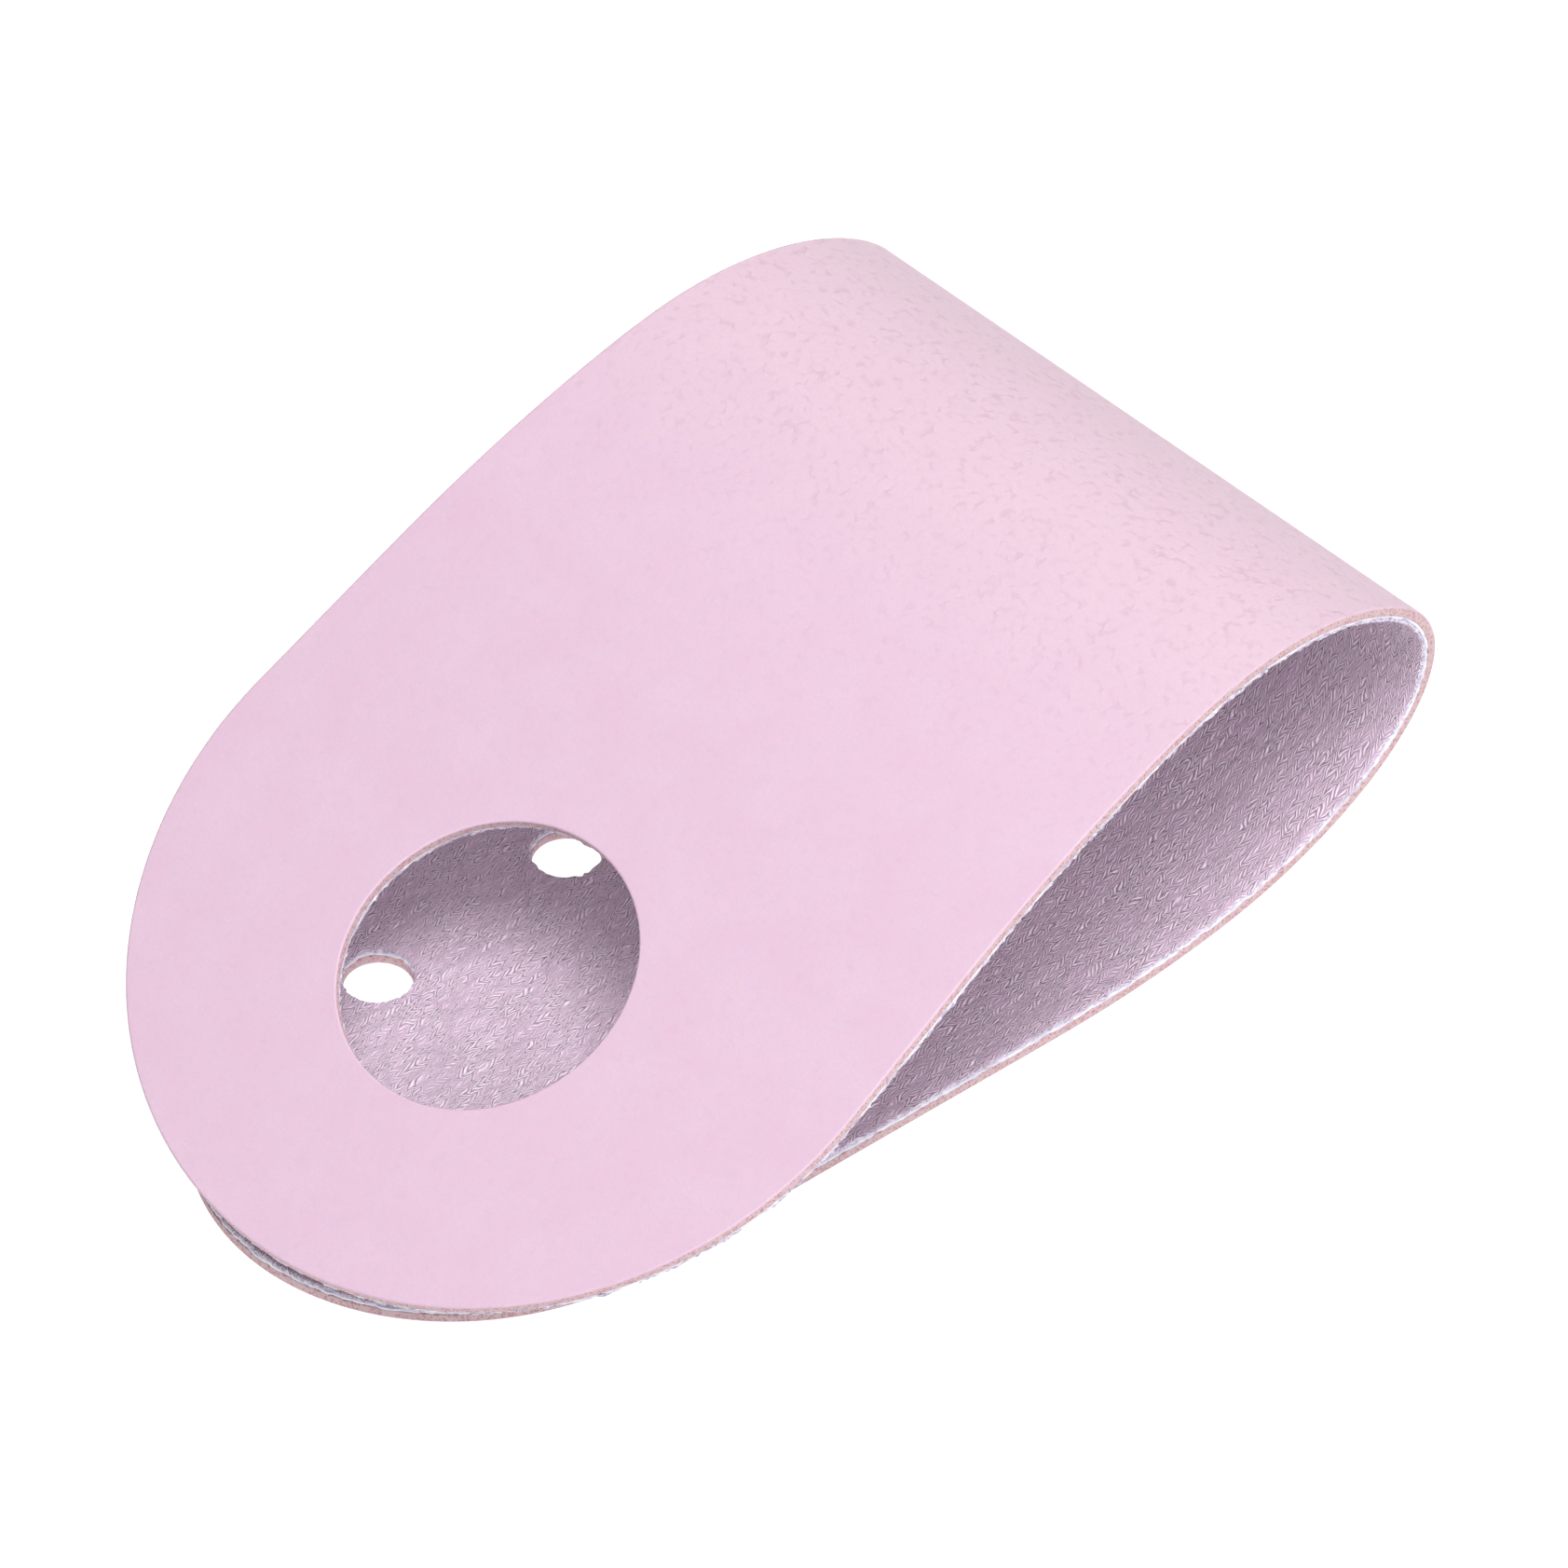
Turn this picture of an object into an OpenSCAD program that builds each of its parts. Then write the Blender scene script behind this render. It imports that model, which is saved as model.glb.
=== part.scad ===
// Wrist support brace: one long strip of bonded leather, rolled over on
// itself so that the wide end lies above the narrow one. The strip is a
// laminate of three sheets, and it opens and closes at eight hinge lines
// that share the turn equally. X runs along the brace towards the fold, Z is
// up, and the brace is symmetric about the XZ plane.

/* [Outline] */
// Full width at the middle of the strip
waist_w = 75; // [70:1:80]
// Radius of the wide end, around the thumb hole
wide_end_r = 42.2; // [40:0.1:45]
// Half width of the narrow end's nose
nose_r = 27.7; // [26:0.1:30]
// Length of the narrow end's nose
nose_len = 30.4; // [27:0.1:33]

/* [Sheets] */
// Thickness of the leather sheet, on the outside
leather_t = 1.05; // [0.8:0.05:1.4]
// Thickness of the white bonding foam between the sheets
bond_t = 0.3; // [0.2:0.05:0.5]
// Thickness of the brushed knit lining, on the inside
lining_t = 0.55; // [0.4:0.05:0.8]

/* [Holes] */
// Radius of the thumb hole
thumb_hole_r = 15.5; // [13:0.5:18]
// Distance from the wide end's tip to the thumb hole's centre
thumb_hole_inset = 35.3; // [34:0.1:40]
// Radius of each small hole
eyelet_r = 3.5; // [2.5:0.5:4]
// Distance between small holes along the strip
eyelet_pitch = 25.5; // [22:0.5:28]
// Distance between small holes across the strip
eyelet_spread = 38.8; // [36:0.2:40]
// Distance from the narrow end's tip to the first small holes
eyelet_inset = 34; // [30:0.5:36]

/* [Fold] */
// Length of the flat lower flap, from the narrow end's tip
lower_len = 78.3; // [76:0.1:84]
// Length of the gentle rise, which is still part of the lower flap
rise_len = 21.6; // [20:0.1:24]
// Length of each of the seven bends, in order along the strip
bend_lens = [18.7, 10, 5.2, 5.2, 5.2, 14.9, 18]; // [5:0.1:20]
// Length of the slight curve that leads to the upper flap
lead_len = 32.5; // [30:0.1:34]
// Length of the straight upper flap, to the wide end's tip
upper_len = 64; // [63:0.1:66]
// Turn of the whole strip in degrees, from the lower flap to the upper one
full_turn = 204.8; // [190:0.1:204.8]
// Fine gap between the bodies at each hinge line
hinge_gap = 0.02; // [0.01:0.01:0.05]

/* [Hidden] */
PARTS = ["lower_flap", "bend_1", "bend_2", "bend_3", "bend_4", "bend_5",
         "bend_6", "bend_7", "upper_flap"];
SHEETS = ["leather", "bond", "lining"];

leather_colour = "#ecd0e4";
bond_colour = "#f6f1f2";
lining_colour = "#ab98b1";

// Clearance past a face that is cut through
past = 2;
// Straight pieces that follow one side of the nose
nose_steps = 24;
$fn = 96;

strip_t = leather_t + bond_t + lining_t;
mid_t = strip_t / 2;

// Each stretch of the strip's profile, from the narrow tip: its length along
// the middle of the thickness, and how many degrees it turns
hinges = len(PARTS) - 1;
share = full_turn / hinges;
stretches = concat([[lower_len, 0], [rise_len, share / 2]],
                   [for (length = bend_lens) [length, share]],
                   [[lead_len, share / 2], [upper_len, 0]]);
last = len(stretches) - 1;

function start_of(i) = i == 0 ? 0 : start_of(i - 1) + stretches[i - 1][0];
function heading(i) = i == 0 ? 0 : heading(i - 1) + stretches[i - 1][1];
function bend_r(i) = stretches[i][0] * 180 / (PI * stretches[i][1]);
function chord(i) = stretches[i][1] == 0 ? stretches[i][0]
    : 2 * bend_r(i) * sin(stretches[i][1] / 2);
function chord_angle(i) = (heading(i) + heading(i + 1)) / 2;
function place(i) = i == 0 ? [0, 0]
    : place(i - 1) + chord(i - 1) * [cos(chord_angle(i - 1)), sin(chord_angle(i - 1))];

strip_len = start_of(last + 1);

// The box's centre goes to X = 0 and its bottom to Z = 0. The strip reaches
// furthest along X in the bend where it passes the vertical.
crest = [for (i = [1:last - 1]) if (heading(i) <= 90 && heading(i + 1) > 90) i][0];
x_max = place(crest)[0] + bend_r(crest) * (1 - sin(heading(crest))) + mid_t;
x_min = min(0, place(last + 1)[0] + mid_t * sin(full_turn));
shift = [-(x_min + x_max) / 2, 0, mid_t];

// Half width of the strip: straight sides from the waist to each round end
mid_s = strip_len / 2;
nose_q = nose_len / nose_r;
wide_c = strip_len - wide_end_r;
function tangent(gap, r) = atan2(waist_w / 2, gap) + acos(r / norm([gap, waist_w / 2]));
nose_tangent = tangent((mid_s - nose_len) / nose_q, nose_r);
wide_tangent = tangent(wide_c - mid_s, wide_end_r);
nose_side = [nose_len * (1 + cos(nose_tangent)), nose_r * sin(nose_tangent)];
wide_side = [wide_c - wide_end_r * cos(wide_tangent), wide_end_r * sin(wide_tangent)];
function slide_w(s, a, b) = a[1] + (b[1] - a[1]) * (s - a[0]) / (b[0] - a[0]);
function half_w(s) = s < mid_s ? slide_w(s, nose_side, [mid_s, waist_w / 2])
    : slide_w(s, [mid_s, waist_w / 2], wide_side);

// Flat lower flap with its round nose, between two levels of the thickness
module lower_sheet(low, high) {
    nose = [for (k = [0:nose_steps])
        let (a = nose_tangent + (180 - nose_tangent) * k / nose_steps)
        [nose_len * (1 + cos(a)), nose_r * sin(a)]];
    outline = concat([[lower_len, half_w(lower_len)]], nose,
                     [for (k = [nose_steps - 1:-1:0]) [nose[k][0], -nose[k][1]]],
                     [[lower_len, -half_w(lower_len)]]);
    difference() {
        translate([0, 0, low]) linear_extrude(high - low) polygon(outline);
        for (k = [0:1], side = [-1, 1])
            translate([eyelet_inset + k * eyelet_pitch, side * eyelet_spread / 2, -past])
                cylinder(r = eyelet_r, h = 2 * past);
    }
}

// Puts its children where a stretch starts, heading along it
module at(i) {
    translate([place(i)[0], 0, place(i)[1]]) rotate([0, -heading(i), 0]) children();
}

// Straight upper flap with its round end and the thumb hole, from the origin
module upper_sheet(low, high) {
    start_w = half_w(start_of(last));
    neck = wide_side[0] - start_of(last);
    difference() {
        translate([0, 0, low]) linear_extrude(high - low) union() {
            polygon([[0, -start_w], [neck, -wide_side[1]], [neck, wide_side[1]], [0, start_w]]);
            intersection() {
                translate([upper_len - wide_end_r, 0]) circle(r = wide_end_r);
                translate([neck, -wide_end_r - past])
                    square([2 * wide_end_r, 2 * (wide_end_r + past)]);
            }
        }
        translate([upper_len - thumb_hole_inset, 0, -past])
            cylinder(r = thumb_hole_r, h = 2 * past);
    }
}

// Curved sheet of one stretch, which starts at the origin, heads along X and
// turns upwards. Its sides are cut to the two half widths. Its end stops short
// of the next hinge line, and so does its start unless that is on a flap.
module bent_sheet(i, start_w, end_w, low, high, on_flap) {
    r = bend_r(i);
    turn = stretches[i][1];
    trim = hinge_gap / 2 * 180 / (PI * r);
    first = on_flap ? 0 : trim;
    reach = r * sin(turn / 2);
    flare = (end_w - start_w) / 2 * (reach + past) / reach;
    w_mid = (start_w + end_w) / 2;
    back = -reach - past;
    front = reach + past;
    translate([0, 0, r]) rotate([90, 0, 0]) rotate([0, 0, -90])
        intersection() {
            rotate([0, 0, first]) rotate_extrude(angle = turn - trim - first)
                translate([r - high, -waist_w]) square([high - low, 2 * waist_w]);
            rotate([0, 0, turn / 2]) rotate([90, 0, 90]) linear_extrude(r + past)
                polygon([[back, flare - w_mid], [front, -flare - w_mid],
                         [front, w_mid + flare], [back, w_mid - flare]]);
        }
}

// One sheet of one body. Low and high are levels about the middle of the
// thickness. Each flap takes in the half bend next to it.
module sheet(body, low, high) {
    i = body + 1;
    start_w = half_w(start_of(i));
    end_w = half_w(start_of(i + 1));
    translate(shift) {
        if (body == 0) lower_sheet(low, high);
        if (body < hinges) at(i) bent_sheet(i, start_w, end_w, low, high, body == 0);
        if (body == hinges) at(last) {
            upper_sheet(low, high);
            mirror([1, 0, 0]) bent_sheet(i, end_w, start_w, low, high, true);
        }
    }
}

module leather(body) {
    color(leather_colour) sheet(body, -mid_t, leather_t - mid_t);
}

module bond(body) {
    color(bond_colour) sheet(body, leather_t - mid_t, mid_t - lining_t);
}

module lining(body) {
    color(lining_colour) sheet(body, mid_t - lining_t, mid_t);
}

for (body = [0:hinges]) {
    leather(body);
    bond(body);
    lining(body);
}
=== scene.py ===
import math

import bpy
import numpy as np
from mathutils import Matrix, Vector
from mathutils.geometry import delaunay_2d_cdt


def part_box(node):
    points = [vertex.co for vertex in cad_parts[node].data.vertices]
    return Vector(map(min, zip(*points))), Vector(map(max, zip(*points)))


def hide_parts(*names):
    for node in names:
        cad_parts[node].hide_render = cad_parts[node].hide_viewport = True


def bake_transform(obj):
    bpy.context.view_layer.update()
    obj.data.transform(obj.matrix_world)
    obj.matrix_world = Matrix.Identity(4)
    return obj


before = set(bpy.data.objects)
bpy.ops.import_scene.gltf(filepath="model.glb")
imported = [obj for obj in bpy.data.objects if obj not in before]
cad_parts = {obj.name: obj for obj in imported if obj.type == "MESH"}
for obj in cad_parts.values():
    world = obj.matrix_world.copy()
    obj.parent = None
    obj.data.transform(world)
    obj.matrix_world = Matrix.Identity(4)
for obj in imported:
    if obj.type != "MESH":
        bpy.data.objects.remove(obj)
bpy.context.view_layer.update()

# ---------------------------------------------------------------- Studio
# The brace lies on a white sweep, under a broad overhead light and a wide
# fill from the camera's side, with weaker lights for the crest and for the
# open side of the fold. The sweep glows, as a lit white acrylic table does.
AZIMUTH = math.radians(-43.86)
ELEVATION = math.radians(43.85)
DISTANCE = 1.108
LOOK_AT = Vector((-0.0119, 0.0, 0.01595))
CENTRE_RIGHT = 0.0151
CENTRE_UP = 0.0107

right = Vector((math.cos(AZIMUTH), math.sin(AZIMUTH), 0.0))
back = Vector((math.sin(AZIMUTH) * math.cos(ELEVATION),
               -math.cos(AZIMUTH) * math.cos(ELEVATION), math.sin(ELEVATION)))
up = back.cross(right)
centre = LOOK_AT + CENTRE_RIGHT * right + CENTRE_UP * up

camera_data = bpy.data.cameras.new("camera")
camera_data.lens = 260
camera_data.sensor_width = 36
camera = bpy.data.objects.new("camera", camera_data)
camera.matrix_world = Matrix.Translation(centre + DISTANCE * back) @ Matrix(
    (right, up, back)).transposed().to_4x4()
bpy.context.scene.collection.objects.link(camera)
bpy.context.scene.camera = camera
bpy.context.scene.view_settings.view_transform = "Standard"


def softbox(name, place, width, power, colour):
    """A square area light that faces the middle of the brace."""
    data = bpy.data.lights.new(name, "AREA")
    data.size = width
    data.energy = power
    data.color = colour
    light = bpy.data.objects.new(name, data)
    light.location = place
    light.rotation_euler = (centre - Vector(place)).to_track_quat("-Z", "Y").to_euler()
    bpy.context.scene.collection.objects.link(light)


softbox("overhead", (-0.22, -0.3, 1.15), 0.55, 11.5, (1.0, 0.995, 0.99))
softbox("crest_light", (0.8, 0.5, 0.75), 0.9, 3.2, (1.0, 0.99, 0.95))
softbox("fill", (-0.45, -0.6, 0.85), 0.9, 4.5, (1.0, 0.99, 1.0))
softbox("fold_light", (0.35, -0.95, 0.7), 0.5, 4.4, (1.0, 0.99, 0.985))

world = bpy.data.worlds.new("room")
world.use_nodes = True
world.node_tree.nodes["Background"].inputs["Color"].default_value = (1.0, 1.0, 1.0, 1.0)
world.node_tree.nodes["Background"].inputs["Strength"].default_value = 0.2
bpy.context.scene.world = world


class Wire:
    """One socket of a material. Sums with it add Math nodes."""

    def __init__(self, socket):
        self.socket = socket

    def node(self, kind, settings=None, sockets=None, out=0):
        """Adds a node: its settings first, then its sockets' values or links. Gives one output."""
        tree = self.socket.id_data
        made = tree.nodes.new(kind)
        for name, value in (settings or {}).items():
            setattr(made, name, value)
        for key, value in (sockets or {}).items():
            if isinstance(value, Wire):
                tree.links.new(value.socket, made.inputs[key])
            else:
                made.inputs[key].default_value = value
        return Wire(made.outputs[out])

    def maths(self, operation, *values):
        return self.node("ShaderNodeMath", {"operation": operation}, dict(enumerate(values)))

    def __add__(self, other):
        return self.maths("ADD", self, other)

    __radd__ = __add__

    def __sub__(self, other):
        return self.maths("SUBTRACT", self, other)

    def __rsub__(self, other):
        return self.maths("SUBTRACT", other, self)

    def __mul__(self, other):
        return self.maths("MULTIPLY", self, other)

    __rmul__ = __mul__

    def __truediv__(self, other):
        return self.maths("DIVIDE", self, other)

    def __pow__(self, other):
        return self.maths("POWER", self, other)

    def step(self, start, end):
        """A smooth step from 0 at start to 1 at end."""
        return self.node("ShaderNodeMapRange", {"interpolation_type": "SMOOTHSTEP"},
                         {"Value": self, "From Min": start, "From Max": end})

    def tint(self, low, high):
        """A colour between low at 0 and high at 1."""
        return self.node("ShaderNodeMix", {"data_type": "RGBA"}, {0: self, 6: low, 7: high}, 2)

    def part(self, name):
        """The X, Y or Z part of a vector."""
        return self.node("ShaderNodeSeparateXYZ", {}, {0: self}, name)

    def stretched(self, along, across, through=1.0):
        """A vector scaled differently along each of its parts."""
        return self.node("ShaderNodeVectorMath", {"operation": "MULTIPLY"},
                         {0: self, 1: (along, across, through)})

    def noise(self, scale, detail=2.0, roughness=0.5):
        return self.node("ShaderNodeTexNoise", {},
                         {"Vector": self, "Scale": scale, "Detail": detail,
                          "Roughness": roughness})

    def noise_colour(self, scale, detail):
        return self.node("ShaderNodeTexNoise", {},
                         {"Vector": self, "Scale": scale, "Detail": detail}, "Color")

    def cells(self, scale, feature, out, randomness=1.0):
        return self.node("ShaderNodeTexVoronoi", {"feature": feature},
                         {"Vector": self, "Scale": scale, "Randomness": randomness}, out)


def rgb(red, green, blue):
    """A shown 0 to 255 colour as the linear colour that a shader takes."""
    shown = [part / 255 for part in (red, green, blue)]
    return tuple(p / 12.92 if p <= 0.04045 else ((p + 0.055) / 1.055) ** 2.4
                 for p in shown) + (1.0,)


def finish_of(name, rough, specular):
    """A new material, its shader node, and a wire to start its nodes from."""
    material = bpy.data.materials.new(name)
    material.use_nodes = True
    shader = material.node_tree.nodes["Principled BSDF"]
    shader.inputs["Roughness"].default_value = rough
    shader.inputs["Specular IOR Level"].default_value = specular
    return material, shader, Wire(shader.outputs[0])


def feed(shader, name, wire):
    wire.socket.id_data.links.new(wire.socket, shader.inputs[name])


SWEEP_SIZE = 6.0
SWEEP_GAP = 0.0003
bpy.ops.mesh.primitive_grid_add(x_subdivisions=8, y_subdivisions=8, size=SWEEP_SIZE,
                                location=(0, 0, -SWEEP_GAP))
sweep = bpy.context.object
sweep.name = "sweep"
sweep_finish, sweep_shader = finish_of("white_acrylic", 0.6, 0.2)[:2]
sweep_shader.inputs["Base Color"].default_value = (0.15, 0.15, 0.15, 1.0)
sweep_shader.inputs["Emission Color"].default_value = (1.0, 1.0, 1.0, 1.0)
sweep_shader.inputs["Emission Strength"].default_value = 1.0
sweep.data.materials.append(sweep_finish)

# ---------------------------------------------------------------- Leather
# The outside of the brace is one piece of soft pink bonded leather, about a
# millimetre thick, die-cut to a round wide end, a narrow nose and a thumb
# hole. It is glued to the foam, and its raw cut edge shows red fibre ends.
MM = 0.001
# Levels above the leather's outer face
LEATHER_TOP = 1.05
BOND_TOP = 1.35
STRIP_THICK = 1.9
MIDDLE = STRIP_THICK / 2

# The strip's profile from the nose tip: length and turn of each stretch
FOLD_TURN = 25.6
FOLD_LENGTHS = (18.7, 10.0, 5.2, 5.2, 5.2, 14.9, 18.0)
STRETCHES = [(78.3, 0.0), (21.6, FOLD_TURN / 2)]
STRETCHES += [(length, FOLD_TURN) for length in FOLD_LENGTHS]
STRETCHES += [(32.5, FOLD_TURN / 2), (64.0, 0.0)]
knots = np.cumsum([0.0] + [length for length, turn in STRETCHES])
strip_len = knots[-1]

# The bends run into each other, as a sheet's do, so the curvature is blurred
FINE = 0.05
BLUR = 3.0
fine_s = np.arange(0.0, strip_len + FINE / 2, FINE)
bends = np.array([math.radians(turn) / length for length, turn in STRETCHES])
curvature = bends[np.clip(np.searchsorted(knots, fine_s[:-1] + FINE / 2) - 1, 0, None)]
kernel_s = np.arange(-4 * BLUR, 4 * BLUR + FINE / 2, FINE)
kernel = np.exp(-0.5 * (kernel_s / BLUR) ** 2)
curvature = np.convolve(curvature, kernel / kernel.sum(), "same")
fine_turn = np.concatenate([[0.0], np.cumsum(curvature) * FINE])
half_turn = (fine_turn[1:] + fine_turn[:-1]) / 2
fine_x = np.concatenate([[0.0], np.cumsum(np.cos(half_turn)) * FINE])
fine_z = np.concatenate([[0.0], np.cumsum(np.sin(half_turn)) * FINE])
fine_x = fine_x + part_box("lower_flap_leather")[0].x / MM
fine_z = fine_z + MIDDLE


def placed(s, v, level):
    """Points in millimetres, from the length along the strip, the place across it, and the
    level above the leather's outer face."""
    turn = np.interp(s, fine_s, fine_turn)
    out = level - MIDDLE
    x = np.interp(s, fine_s, fine_x) - np.sin(turn) * out
    z = np.interp(s, fine_s, fine_z) + np.cos(turn) * out
    return np.stack([x, v + 0 * x, z], axis=-1)


# The outline from the nose tip to the wide end's tip, on one side
WAIST = 37.5
NOSE_R, NOSE_LEN = 27.7, 30.4
WIDE_R = 42.2
waist_s = strip_len / 2
wide_s = strip_len - WIDE_R


def tangent(gap, radius):
    """The angle at which a side from the waist touches a round end."""
    return math.atan2(WAIST, gap) + math.acos(radius / math.hypot(gap, WAIST))


nose_turn = np.linspace(math.pi, tangent((waist_s - NOSE_LEN) * NOSE_R / NOSE_LEN, NOSE_R), 200)
wide_turn = np.linspace(tangent(wide_s - waist_s, WIDE_R), math.pi, 400)
outline_s = np.concatenate([NOSE_LEN * (1 + np.cos(nose_turn)), [waist_s],
                            wide_s - WIDE_R * np.cos(wide_turn)])
outline_v = np.concatenate([NOSE_R * np.sin(nose_turn), [WAIST], WIDE_R * np.sin(wide_turn)])
outline_arc = np.concatenate([[0.0], np.cumsum(np.hypot(np.diff(outline_s), np.diff(outline_v)))])

# Each hole's place along the strip, its place across it, and its radius
THUMB_INSET, THUMB_R = 35.3, 15.5
LACING_SPREAD, LACING_R = 19.4, 3.5
THUMB_HOLE = (wide_s + WIDE_R - THUMB_INSET, 0.0, THUMB_R)
LACING_HOLES = [(s, side * LACING_SPREAD, LACING_R) for s in (34.0, 59.5) for side in (-1, 1)]

# The bodies, and the seams between the lengths of each sheet
PARTS = ["lower_flap"] + [f"bend_{i}" for i in range(1, 8)] + ["upper_flap"]
middles = (knots[1:-2] + knots[2:-1]) / 2
seams = np.concatenate([[0.0], middles[1:-1], [strip_len]])
EDGE_STEP = 0.35
# Keeps the wear of the two sides from matching, and varies it around a hole
SIDE_SHIFT = 50.0
HOLE_WEAR = 3
NOISE_CELLS = 256


def lattice_noise(size, seed):
    """Smooth noise from -1 to 1, as a function of two coordinates in millimetres."""
    table = np.random.default_rng(seed).uniform(-1, 1, (NOISE_CELLS, NOISE_CELLS))

    def noise(x, y):
        x = np.asarray(x) / size + 40.0
        y = np.asarray(y) / size + 90.0
        i = np.floor(x).astype(int)
        j = np.floor(y).astype(int)
        p = x - i
        q = y - j
        p = p * p * (3 - 2 * p)
        q = q * q * (3 - 2 * q)
        i, next_i = i % NOISE_CELLS, (i + 1) % NOISE_CELLS
        j, next_j = j % NOISE_CELLS, (j + 1) % NOISE_CELLS
        low = table[i, j] * (1 - p) + table[next_i, j] * p
        high = table[i, next_j] * (1 - p) + table[next_i, next_j] * p
        return low * (1 - q) + high * q

    return noise


def no_wear(x, y):
    return 0 * x


def side_points(low_s, high_s, side, wear):
    """Points along one cut side: length, place across, and the way inwards."""
    ends = np.interp([low_s, high_s], outline_s, outline_arc)
    arc = np.linspace(ends[0], ends[1], max(2, round((ends[1] - ends[0]) / EDGE_STEP)) + 1)
    s = np.interp(arc, outline_arc, outline_s)
    v = np.interp(arc, outline_arc, outline_v)
    ahead = np.interp(arc + FINE, outline_arc, outline_s) - np.interp(
        arc - FINE, outline_arc, outline_s)
    wider = np.interp(arc + FINE, outline_arc, outline_v) - np.interp(
        arc - FINE, outline_arc, outline_v)
    size = np.hypot(ahead, wider)
    in_s = wider / size
    in_v = -ahead / size
    tips = (s < FINE) | (s > strip_len - FINE)
    in_s[tips] = np.where(s[tips] < FINE, 1.0, -1.0)
    in_v[tips] = 0.0
    seam_end = ((np.arange(len(s)) == 0) & (low_s > 0)) | (
        (np.arange(len(s)) == len(s) - 1) & (high_s < strip_len))
    in_s[seam_end] = 0.0
    in_v[seam_end] = -1.0
    depth = wear(arc, side * SIDE_SHIFT)
    s = s + in_s * depth
    v = v + in_v * depth
    return np.stack([s, side * v, in_s, side * in_v], axis=1)


def seam_points(s, low_v, high_v):
    count = max(2, round(abs(high_v - low_v) / EDGE_STEP))
    v = np.linspace(low_v, high_v, count + 1)[1:-1]
    return np.stack([np.full(len(v), s), v, 0 * v, 0 * v], axis=1)


def hole_points(hole, wear):
    s, v, radius = hole
    turn = -np.arange(round(2 * math.pi * radius / EDGE_STEP)) * EDGE_STEP / radius
    turn = turn * 2 * math.pi / (len(turn) * EDGE_STEP / radius)
    depth = wear(radius * np.cos(turn) * HOLE_WEAR + s, radius * np.sin(turn) * HOLE_WEAR + v)
    reach = radius + depth
    return np.stack([s + reach * np.cos(turn), v + reach * np.sin(turn),
                     np.cos(turn), np.sin(turn)], axis=1)


def strip_loops(low_s, high_s, wear):
    """The closed loops around one length of the strip, material on the left, and which runs
    of the outer one are seams."""
    near = side_points(low_s, high_s, -1, wear)
    far = side_points(low_s, high_s, 1, wear)[::-1]
    runs = [near]
    seam_runs = []
    if high_s < strip_len:
        seam = seam_points(high_s, near[-1, 1], far[0, 1])
        seam_runs.append((len(near) - 1, len(near) + len(seam)))
        runs.append(seam)
    else:
        far = far[1:]
    runs.append(far)
    if low_s > 0:
        seam = seam_points(low_s, far[-1, 1], near[0, 1])
        start = sum(len(run) for run in runs)
        seam_runs.append((start - 1, start + len(seam)))
        runs.append(seam)
    else:
        runs[-1] = far[:-1]
    loops = [np.concatenate(runs)]
    for hole in [THUMB_HOLE] + LACING_HOLES:
        if low_s < hole[0] < high_s:
            loops.append(hole_points(hole, wear))
    return loops, seam_runs


def half_width(s):
    return np.interp(s, outline_s, outline_v, left=-1.0, right=-1.0)


# The filling's rows and shake, and the room it leaves at the edge
ROW_RATIO = 0.866
SHAKE = 0.12
GAP_SHARE, GAP_LEAST = 0.45, 0.12


def fill_points(low_s, high_s, step, room_left, seed):
    """Loose triangular grid of points well inside one length of the strip."""
    rows = np.arange(-WIDE_R, WIDE_R, step * ROW_RATIO)
    columns = np.arange(low_s, high_s, step)
    s, v = np.meshgrid(columns, rows)
    s = s + (np.arange(len(rows)) % 2)[:, None] * step / 2
    shake = np.random.default_rng(seed).uniform(-SHAKE, SHAKE, (2,) + s.shape) * step
    s = (s + shake[0]).ravel()
    v = (v + shake[1]).ravel()
    gap = GAP_SHARE * step + GAP_LEAST + room_left
    room = np.minimum(half_width(s), np.minimum(half_width(s - gap), half_width(s + gap)))
    keep = (np.abs(v) < room - gap) & (s > low_s + gap) & (s < high_s - gap)
    for hole_s, hole_v, radius in [THUMB_HOLE] + LACING_HOLES:
        keep &= np.hypot(s - hole_s, v - hole_v) > radius + gap
    return np.stack([s[keep], v[keep]], axis=1)


def signed_area(points, faces):
    a, b, c = (points[faces[:, i]] for i in range(3))
    cross = (b[:, 0] - a[:, 0]) * (c[:, 1] - a[:, 1]) - (b[:, 1] - a[:, 1]) * (c[:, 0] - a[:, 0])
    return float(cross.sum() / 2)


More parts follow.
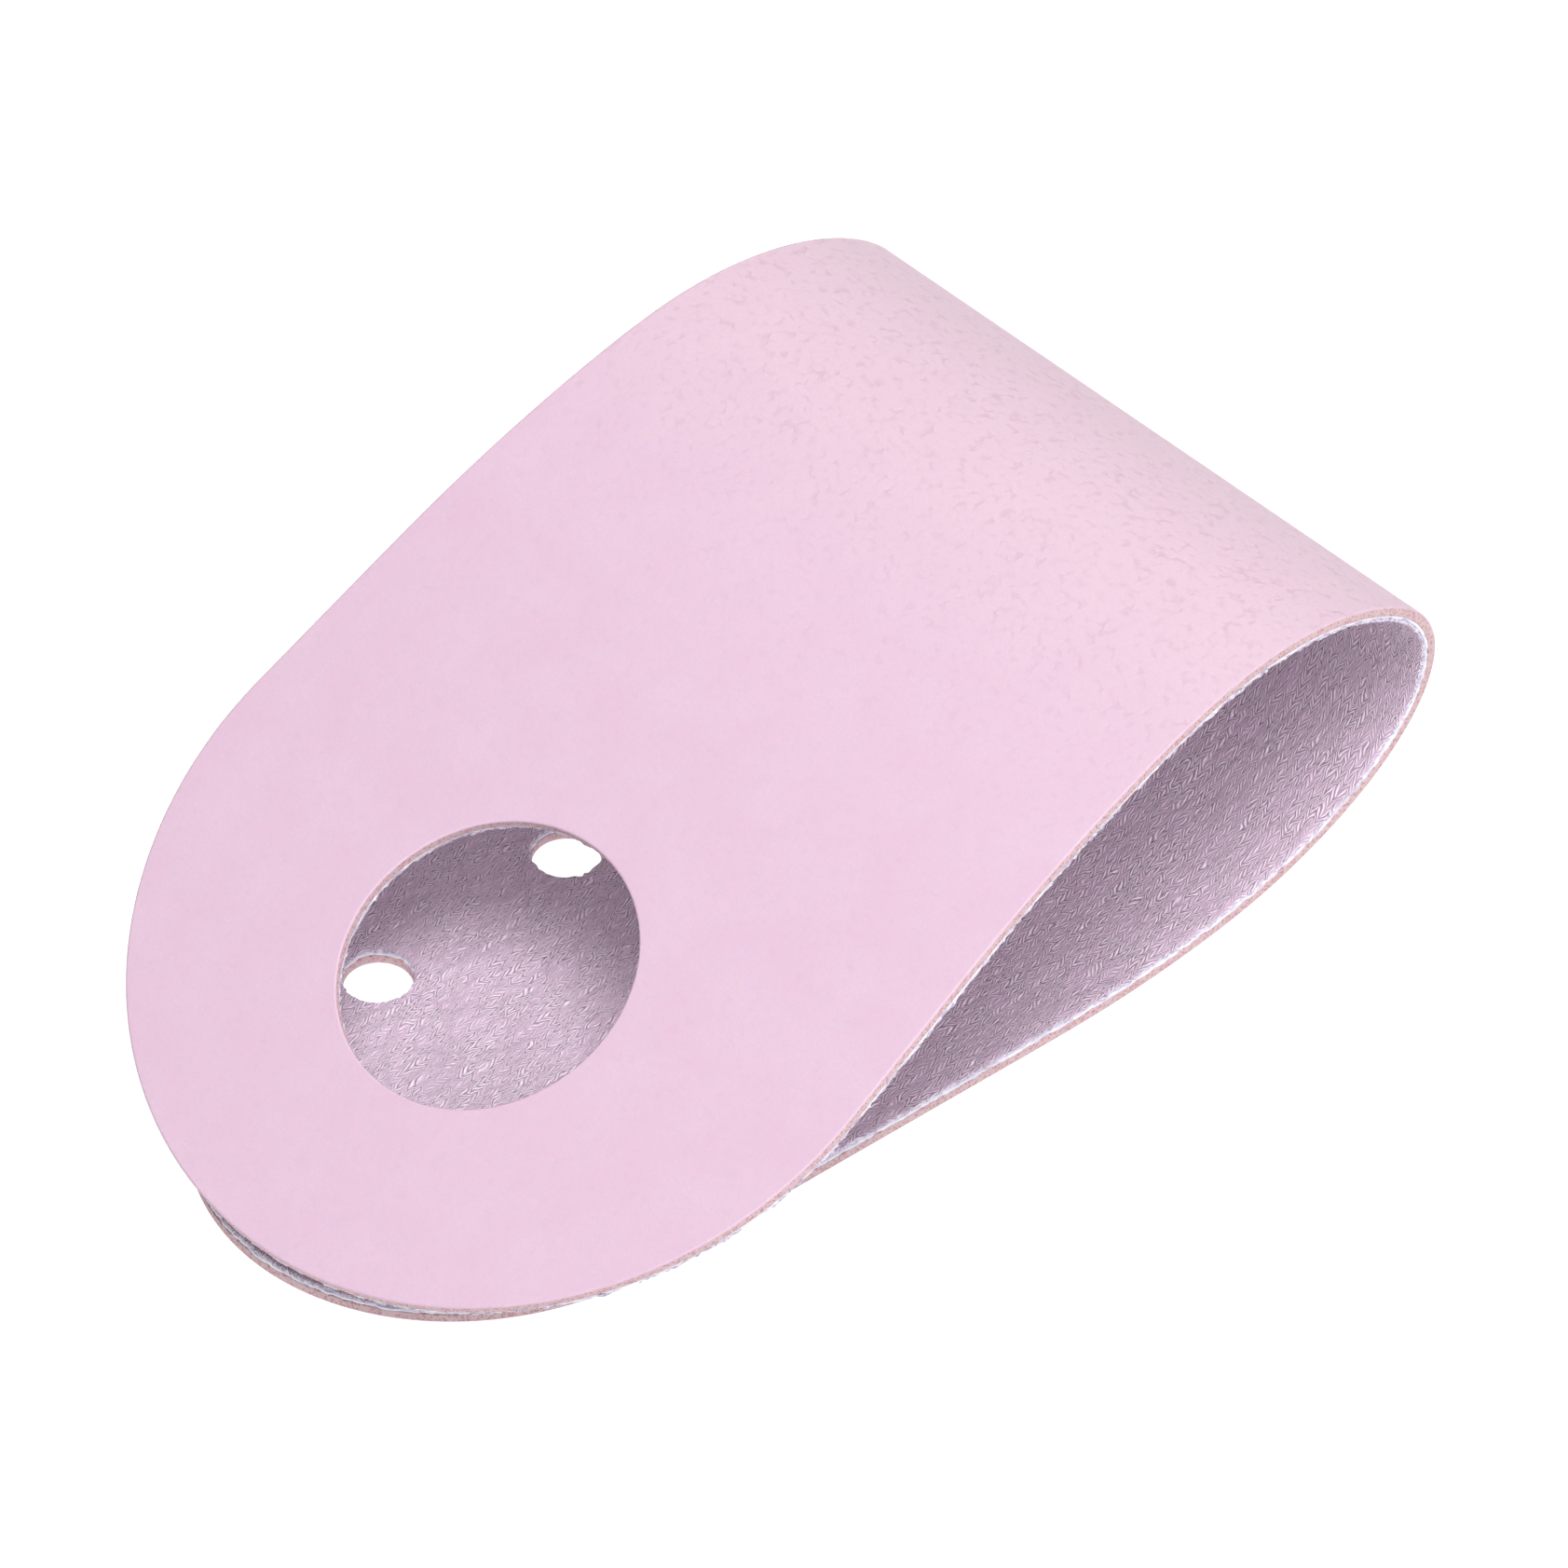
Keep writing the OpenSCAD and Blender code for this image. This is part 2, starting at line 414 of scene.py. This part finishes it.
def triangles_of(loops, filling):
    """Triangles over the loops' points and then the filling's, counter-clockwise."""
    edge_count = sum(len(loop) for loop in loops)
    points = np.concatenate([loop[:, :2] for loop in loops] + [filling])
    edges = []
    start = 0
    for loop in loops:
        count = len(loop)
        edges += [(start + i, start + (i + 1) % count) for i in range(count)]
        start += count
    found = delaunay_2d_cdt([Vector(p) for p in points.tolist()], edges, [], 0, 1e-6, True)
    source = np.array([ids[0] for ids in found[3]])
    faces = source[np.array(found[2])]
    if signed_area(points, faces) < 0:
        faces = faces[:, ::-1]
    # A triangle on a loop's own edge is inside if it runs the same way as the loop, and the
    # others are as their neighbours across the free edges
    forward = np.array(edges) @ [len(points), 1]
    backward = np.array(edges) @ [1, len(points)]
    inside = (faces >= edge_count).any(axis=1).astype(int)
    ways = faces * len(points) + np.roll(faces, -1, axis=1)
    others = np.roll(faces, -1, axis=1) * len(points) + faces
    inside[np.isin(ways, forward).any(axis=1)] = 1
    inside[np.isin(ways, backward).any(axis=1)] = -1
    order = np.argsort(ways.ravel())
    spot = np.clip(np.searchsorted(ways.ravel()[order], others), 0, len(order) - 1)
    across = order[spot]
    free = (ways.ravel()[across] == others) & ~np.isin(ways, forward) & ~np.isin(ways, backward)
    while (inside == 0).any():
        seen = (np.where(free, inside[across // 3], 0)).sum(axis=1)
        changed = (inside == 0) & (seen != 0)
        if not changed.any():
            break
        inside[changed] = np.sign(seen[changed])
    faces = faces[inside == 1]
    return faces, signed_area(points, faces)


SLOPE_REACH = 0.12


def slope_of(relief, spots):
    """The way the high face looks at each spot: along the strip, across it and up."""
    s, v = spots.T
    fall_s = (relief(s - SLOPE_REACH, v) - relief(s + SLOPE_REACH, v)) / (2 * SLOPE_REACH)
    fall_v = (relief(s, v - SLOPE_REACH) - relief(s, v + SLOPE_REACH)) / (2 * SLOPE_REACH)
    way = np.column_stack([fall_s, fall_v, np.ones(len(s))])
    return way / np.linalg.norm(way, axis=1)[:, None]


def flat_relief(s, v):
    return 0 * s


WEAR_SAMPLES = np.arange(0, 60, 0.2)


def wall_faces(loops, seam_runs, rows):
    """The faces around the cut edge, ring by ring, and one flat face across each seam."""
    faces = []
    start = 0
    for loop in loops:
        for i in range(len(loop)):
            a, b = start + i, start + (i + 1) % len(loop)
            if start == 0 and any(first <= i < last for first, last in seam_runs):
                continue
            for low, high in zip(rows[:-1], rows[1:]):
                faces.append([low[a], low[b], high[b], high[a]])
        start += len(loop)
    for first, last in seam_runs:
        run = [i % len(loops[0]) for i in range(first, last + 1)]
        faces.append([rows[0][i] for i in run] + [row[run[-1]] for row in rows[1:-1]]
                     + [rows[-1][i] for i in reversed(run)]
                     + [row[run[0]] for row in reversed(rows[1:-1])])
    return faces


def laid_mesh(name, flat, levels, ways, faces):
    """Rolls flat points up into the folded strip. The seams stay unseen because the normals
    come from the strip's own slope, and the flat places go along for the finishes."""
    mesh = bpy.data.meshes.new(name)
    mesh.from_pydata((placed(flat[:, 0], flat[:, 1], levels) * MM).tolist(), [], faces)
    mesh.shade_smooth()
    turn = np.interp(flat[:, 0], fine_s, fine_turn)
    normals = np.column_stack([np.cos(turn) * ways[:, 0] - np.sin(turn) * ways[:, 2],
                               ways[:, 1],
                               np.sin(turn) * ways[:, 0] + np.cos(turn) * ways[:, 2]])
    mesh.normals_split_custom_set_from_vertices(normals.tolist())
    where = mesh.attributes.new("flat", "FLOAT_VECTOR", "POINT")
    where.data.foreach_set("vector", np.column_stack([flat, levels]).astype(np.float32).ravel())
    piece = bpy.data.objects.new(name, mesh)
    bpy.context.scene.collection.objects.link(piece)
    return piece


def cut_length(name, number, rings, steps, wear=no_wear, relief=flat_relief):
    """One closed length of a sheet. Rings are its edge's insets, levels and turns away from
    the low face, in degrees, and steps are the spacing of the points in its two faces."""
    low_s, high_s = seams[number - 1], seams[number]
    loops, seam_runs = strip_loops(low_s, high_s, wear)
    edge = np.concatenate(loops)
    deepest = max(0.0, wear(*np.meshgrid(WEAR_SAMPLES, WEAR_SAMPLES)).max())
    on_seam = np.zeros(len(edge), bool)
    for first, last in seam_runs:
        on_seam[first + 1:last] = True
    flat, levels, ways, rows, faces = [], [], [], [], []
    total = 0
    area = 0.0
    for k, (inset, level, turned) in enumerate(rings):
        ring = edge[:, :2] + edge[:, 2:] * inset
        face = k in (0, len(rings) - 1)
        used = np.ones(len(edge), bool) if face else ~on_seam
        rows.append(np.where(used, total + np.cumsum(used) - 1, -1))
        flat.append(ring[used])
        levels.append(np.full(used.sum(), level))
        lean = math.radians(turned)
        way = np.column_stack([-edge[:, 2:] * math.sin(lean),
                               np.full(len(edge), -math.cos(lean))])
        way[on_seam] = (0, 0, -1 if k == 0 else 1)
        if k > 0:
            levels[-1] = levels[-1] + np.where(on_seam, relief(*edge[:, :2].T), 0)[used]
            way[on_seam] = slope_of(relief, edge[on_seam, :2])
        ways.append(way[used])
        total += used.sum()
        if face:
            moved = [np.concatenate([loop[:, :2] + loop[:, 2:] * inset, loop[:, 2:]], axis=1)
                     for loop in loops]
            filling = fill_points(low_s, high_s, steps[0 if k == 0 else 1], inset + deepest,
                                  number + k)
            triangles, area = triangles_of(moved, filling)
            index = np.concatenate([rows[-1], total + np.arange(len(filling))])
            triangles = index[triangles]
            faces += (triangles[:, ::-1] if k == 0 else triangles).tolist()
            flat.append(filling)
            levels.append(np.full(len(filling), level))
            total += len(filling)
            ways.append(np.tile([0.0, 0.0, -1.0], (len(filling), 1)))
            if k > 0:
                levels[-1] = levels[-1] + relief(*filling.T)
                ways[-1] = slope_of(relief, filling)
    faces += wall_faces(loops, seam_runs, rows)
    return laid_mesh(name, np.concatenate(flat), np.concatenate(levels), np.concatenate(ways),
                     faces), area


def fasten(piece, number, sheet, material):
    """Gives a length of a sheet its finish, moves its placing into its mesh, and hides the two
    bodies it replaces.
    """
    first, second = PARTS[number - 1], PARTS[number]
    piece.data.materials.append(material)
    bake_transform(piece)
    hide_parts(f"{first}_{sheet}", f"{second}_{sheet}")


def declare_sheet(lengths, areas):
    """Groups the lengths, those too short to stand alone going with the length before them, and
    works out each group's length, width and area, which nothing uses.
    """
    groups = []
    for number, piece in enumerate(lengths):
        if seams[number + 1] - seams[number] > SHORTEST_SHEET:
            groups.append((number, piece, []))
        else:
            groups[-1][2].append(piece)
    for number, piece, going in groups:
        length = (seams[number + 1] - seams[number]) * MM
        width = 2 * half_width(np.linspace(seams[number], seams[number + 1], 200)).max() * MM
        areas[number] * MM * MM


SHORTEST_SHEET = 10.0


def lay_sheet(sheet, edge, steps, material, wear=no_wear, relief=flat_relief):
    lengths, areas = [], []
    for number in range(1, len(PARTS)):
        piece, area = cut_length(f"{sheet}_{number}", number, edge, steps, wear, relief)
        fasten(piece, number, sheet, material)
        lengths.append(piece)
        areas.append(area)
    declare_sheet(lengths, areas)
    return lengths


# Spacing of the points in a sheet's face: unseen ones are coarse
HIDDEN_STEP = 2.5
LEATHER_STEP = 1.1
# The raw edge: its inset and level, and how far it has turned from the face
LEATHER_EDGE = [(0.24, 0.0, 0.0), (0.10, 0.03, 35.0), (0.03, 0.09, 65.0),
                (0.0, 0.22, 90.0), (0.0, 0.6, 90.0), (0.0, 0.98, 90.0),
                (0.05, LEATHER_TOP, 150.0)]

leather, leather_shader, wire = finish_of("pink_leather", 0.5, 0.4)
flat = wire.node("ShaderNodeAttribute", {"attribute_name": "flat"}, {}, "Vector")
along = flat.part("X")
level = flat.part("Z")
# The grain opens up where the leather is bent, and is pressed flat elsewhere. The same band also
# gets a painted highlight tint, paler and more ivory near the crest.
BENT_FROM, BENT_TO = (120.0, 146.0), (158.0, 205.0)
bent = along.step(*BENT_FROM) * (1 - along.step(*BENT_TO))
drift = flat.noise(0.9, 3.0) - 0.5
pushed = flat.node("ShaderNodeVectorMath", {"operation": "MULTIPLY_ADD"}, {
    0: flat.noise_colour(1.1, 2.0), 1: (0.9, 0.9, 0.9), 2: flat})
pebble = pushed.stretched(1.0, 0.85).cells(1.5, "SMOOTH_F1", "Distance")
crease = pebble.step(0.42, 0.72)
broken = flat.noise(0.5, 3.0).step(0.38, 0.62)
crease = crease * (0.35 + broken * 0.65)
fine = flat.noise(3.0, 4.0, 0.65)
pores = flat.cells(2.6, "F1", "Distance").step(0.0, 0.35)
blotch = flat.noise(0.13, 4.0, 0.55).step(0.3, 0.7)
cloud = flat.noise(0.6, 3.0, 0.6).step(0.3, 0.7)
# painted glints: tiny pale specks on the grain, strongest where the cloud is
painted_glint = 1 - flat.cells(1.15, "F1", "Distance").step(0.05, 0.12)
tone = blotch.tint(rgb(208, 176, 196), rgb(210, 183, 200))
tone = (cloud * 0.6).tint(tone, rgb(204, 180, 201))
# painted highlight: the bent band near the crest is tinted paler and more ivory
tone = (bent * 0.6).tint(tone, rgb(208, 187, 196))
tone = ((fine * 2.2 - 0.6) * 0.5).tint(tone, rgb(201, 167, 189))
# painted shade: the grain's creases are darkened, most where the bend opens them
tone = (crease * (0.08 + bent * 0.26)).tint(tone, rgb(180, 146, 166))
tone = (painted_glint * 0.4 * cloud).tint(tone, rgb(218, 204, 214))
fibre_dots = 1 - flat.cells(3.0, "F1", "Distance").step(0.22, 0.52)
fibre_hue = flat.noise(1.4, 2.0).step(0.35, 0.65)
cut = fibre_hue.tint(rgb(208, 183, 185), rgb(202, 173, 180))
cut = (fibre_dots * 0.7).tint(cut, rgb(178, 115, 120))
cut_mask = level.step(0.1, 0.24)
feed(leather_shader, "Base Color", cut_mask.tint(tone, cut))
feed(leather_shader, "Roughness", 0.46 + fine * 0.14 + cut_mask * 0.35 - bent * 0.04)
height = (crease * (-0.15 - bent * 0.9) + fine * 0.45 + pores * 0.1
          + drift * (0.3 + bent * 0.6) + fibre_dots * cut_mask * -0.6)
bump = wire.node("ShaderNodeBump", {}, {"Strength": 0.45, "Distance": 0.00012,
                                        "Height": height})
feed(leather_shader, "Normal", bump)

lay_sheet("leather", LEATHER_EDGE, (LEATHER_STEP, HIDDEN_STEP), leather)

# ---------------------------------------------------------------- Bond
# A thin white foam film is melted between the leather and the knit. It is
# cut with them, and its torn edge shows as a ragged white line.
rough_edge = [lattice_noise(0.5, 11), lattice_noise(1.7, 12), lattice_noise(6.0, 13)]


def torn(x, y):
    """How far the foam's edge stands back from the leather's."""
    return (0.10 + 0.10 * rough_edge[0](x, y) + 0.08 * rough_edge[1](x, y)
            + 0.05 * rough_edge[2](x, y))


BOND_EDGE = [(0.05, LEATHER_TOP, 45.0), (-0.02, 1.12, 90.0), (-0.02, 1.28, 90.0),
             (0.05, BOND_TOP, 135.0)]
bond, bond_shader, wire = finish_of("white_foam", 0.8, 0.2)
flat = wire.node("ShaderNodeAttribute", {"attribute_name": "flat"}, {}, "Vector")
open_cells = flat.cells(4.0, "F1", "Distance")
shade = flat.noise(1.1, 3.0)
feed(bond_shader, "Base Color", shade.step(0.3, 0.7).tint(rgb(222, 222, 240), rgb(248, 246, 252)))
feed(bond_shader, "Roughness", 0.72 + open_cells * 0.2)
feed(bond_shader, "Normal", wire.node("ShaderNodeBump", {}, {
    "Strength": 0.6, "Distance": 0.0001, "Height": open_cells + shade}))

lay_sheet("bond", BOND_EDGE, (HIDDEN_STEP, HIDDEN_STEP), bond, torn)

# ---------------------------------------------------------------- Lining
# The inside is a lilac weft knit that was brushed, so that its loops show as
# short slanted strokes, paled by painted highlight, with painted shade darkening
# the gaps between them. It is bonded on over its whole area, and its raw edge
# is a fringe of pale cut yarn.
WALE = 1.0
COURSE = 0.78
SLANT = 3.2
drift_along = [lattice_noise(0.9, 21), lattice_noise(3.5, 22)]
drift_across = [lattice_noise(0.8, 23), lattice_noise(4.5, 24)]
pile_height = [lattice_noise(0.7, 25), lattice_noise(2.4, 26)]
frayed_edge = [lattice_noise(0.4, 27), lattice_noise(1.3, 28)]
LINING_STEP = 0.3


def frayed(x, y):
    """How far the knit's edge stands back from the leather's."""
    return 0.16 + 0.16 * frayed_edge[0](x, y) + 0.12 * frayed_edge[1](x, y)


def stitch_place(s, v):
    """Where a point lies in the undisturbed knit, before brushing moved its yarn."""
    return (s + 0.34 * drift_along[0](s, v) + 0.5 * drift_along[1](s, v),
            v + 0.22 * drift_across[0](s, v) + 0.35 * drift_across[1](s, v))


def loops_of_yarn(s, v):
    """The knit's height above its ground: two slanted legs for each loop."""
    place_s, place_v = stitch_place(s, v)
    ridge = np.cos(2 * math.pi * place_v / WALE)
    bulge = np.cos(2 * math.pi * (place_s / COURSE + 0.5 * ridge))
    return (-0.02 + 0.03 * ridge + 0.03 * bulge + 0.04 * pile_height[0](s, v)
            + 0.02 * pile_height[1](s, v))


LINING_EDGE = [(0.05, BOND_TOP, 45.0), (-0.03, 1.45, 85.0), (-0.03, 1.6, 100.0),
               (0.06, 1.72, 130.0), (0.2, 1.8, 165.0)]
lining, lining_shader, wire = finish_of("lilac_knit", 0.85, 0.15)
flat = wire.node("ShaderNodeAttribute", {"attribute_name": "flat"}, {}, "Vector")
stitch = wire.node("ShaderNodeAttribute", {"attribute_name": "stitch"}, {}, "Vector")
wale = stitch.part("Y") / WALE
row = stitch.part("X") / COURSE
off = (wale.maths("FRACT", wale) - 0.5).maths("ABSOLUTE", wale.maths("FRACT", wale) - 0.5)
phase = row - SLANT * off
wave = 0.5 + 0.5 * phase.maths("COSINE", phase * (2 * math.pi))
ends = (off * (2 * math.pi)).maths("SINE", off * (2 * math.pi))
leg = wave * ends.maths("ABSOLUTE", ends) ** 0.5
loop_number = phase.maths("FLOOR", phase) + 37.0 * wale.maths("FLOOR", wale)
own_shade = wire.node("ShaderNodeTexWhiteNoise", {"noise_dimensions": "1D"}, {"W": loop_number})
fibres = flat.stretched(1.6, 6.0).noise(1.0, 3.0, 0.65)
fuzz = flat.noise(2.2, 4.0, 0.65)
mottle = flat.noise(0.35, 3.0, 0.6).step(0.3, 0.7)
# painted highlight: the raised yarn legs are tinted pale, each loop by its own random amount
light = (leg * (0.35 + own_shade * 0.65)).step(0.05, 0.7)
painted_gap_shade = (1 - (leg + fuzz * 0.2).step(0.12, 0.36)) * own_shade.step(0.25, 0.75)
tone = light.tint(rgb(212, 186, 209), rgb(252, 242, 249))
# painted shade: the gaps between the yarn loops are darkened
tone = (painted_gap_shade * 0.8).tint(tone, rgb(130, 98, 132))
tone = (fibres.step(0.55, 0.75) * 0.4).tint(tone, rgb(250, 240, 248))
tone = (mottle * 0.3).tint(tone, rgb(216, 195, 214))
cut_mask = 1 - flat.part("Z").step(1.62, 1.74)
cut = fuzz.step(0.35, 0.7).tint(rgb(198, 186, 212), rgb(238, 234, 246))
feed(lining_shader, "Base Color", cut_mask.tint(tone, cut))
feed(lining_shader, "Normal", wire.node("ShaderNodeBump", {}, {
    "Strength": 1.0, "Distance": 0.00014, "Height": leg + fibres * 0.3 + fuzz * 0.2}))
lining_shader.inputs["Sheen Weight"].default_value = 0.12
lining_shader.inputs["Sheen Roughness"].default_value = 0.4
lining_shader.inputs["Sheen Tint"].default_value = rgb(226, 212, 232)

for piece in lay_sheet("lining", LINING_EDGE, (HIDDEN_STEP, LINING_STEP), lining,
                       frayed, loops_of_yarn):
    spots = np.empty(len(piece.data.vertices) * 3, np.float32)
    piece.data.attributes["flat"].data.foreach_get("vector", spots)
    spots = spots.reshape(-1, 3)
    moved = np.column_stack([*stitch_place(spots[:, 0], spots[:, 1]), spots[:, 2]])
    where = piece.data.attributes.new("stitch", "FLOAT_VECTOR", "POINT")
    where.data.foreach_set("vector", moved.astype(np.float32).ravel())
